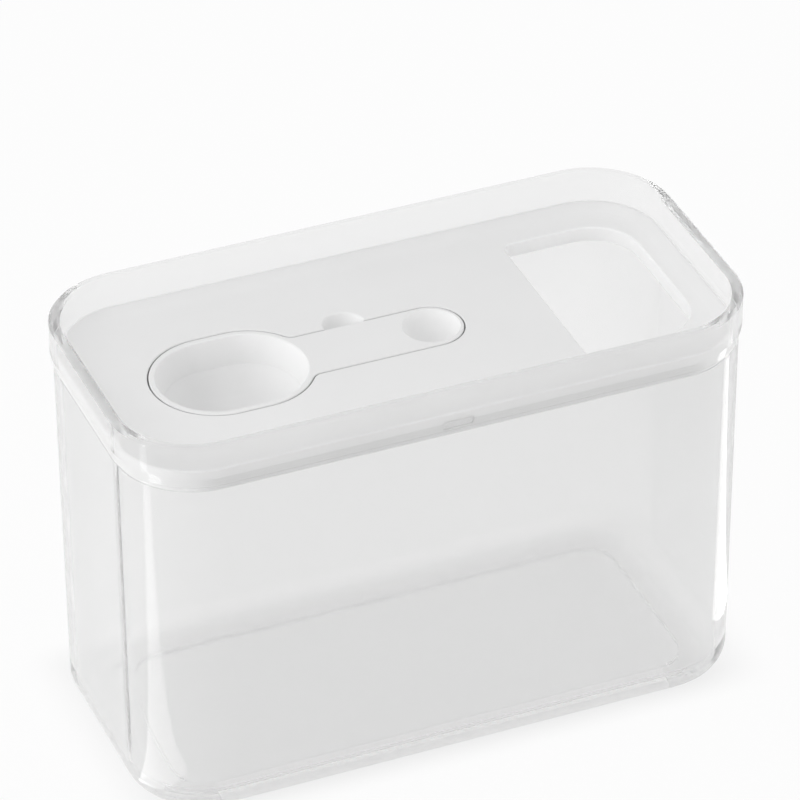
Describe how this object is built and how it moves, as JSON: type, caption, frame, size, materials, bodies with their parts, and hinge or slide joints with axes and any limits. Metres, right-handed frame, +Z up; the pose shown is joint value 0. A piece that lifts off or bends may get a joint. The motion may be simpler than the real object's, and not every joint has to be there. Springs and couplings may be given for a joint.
{
  "type": "food storage container",
  "caption": "Clear rectangular food storage tub with rounded corners, a white drop-in pour insert with a wide opening, and a measuring scoop parked flush in it.",
  "frame": {"origin": "middle of the tub's standing face", "axes": "+Z up, +X along the tub towards the pour opening, +Y towards the finger notch beside the scoop"},
  "size_m": [0.21, 0.104, 0.142],
  "materials": {
    "clear_copolyester": "clear, polished mould",
    "white_polypropylene": "satin, fine moulded texture",
    "white_scoop_polypropylene": "satin, fine moulded texture"
  },
  "bodies": {
    "tub": {"tub": "clear_copolyester"},
    "insert": {"pour_insert": "white_polypropylene"},
    "scoop": {"measuring_scoop": "white_scoop_polypropylene"}
  },
  "joints": [
    {"name": "insert_lift", "type": "slide", "parent": "tub", "child": "insert", "axis": [0, 0, 1], "range_m": [0, 0.05]},
    {"name": "scoop_lift", "type": "slide", "parent": "insert", "child": "scoop", "axis": [0, 0, 1], "range_m": [0, 0.03]}
  ]
}
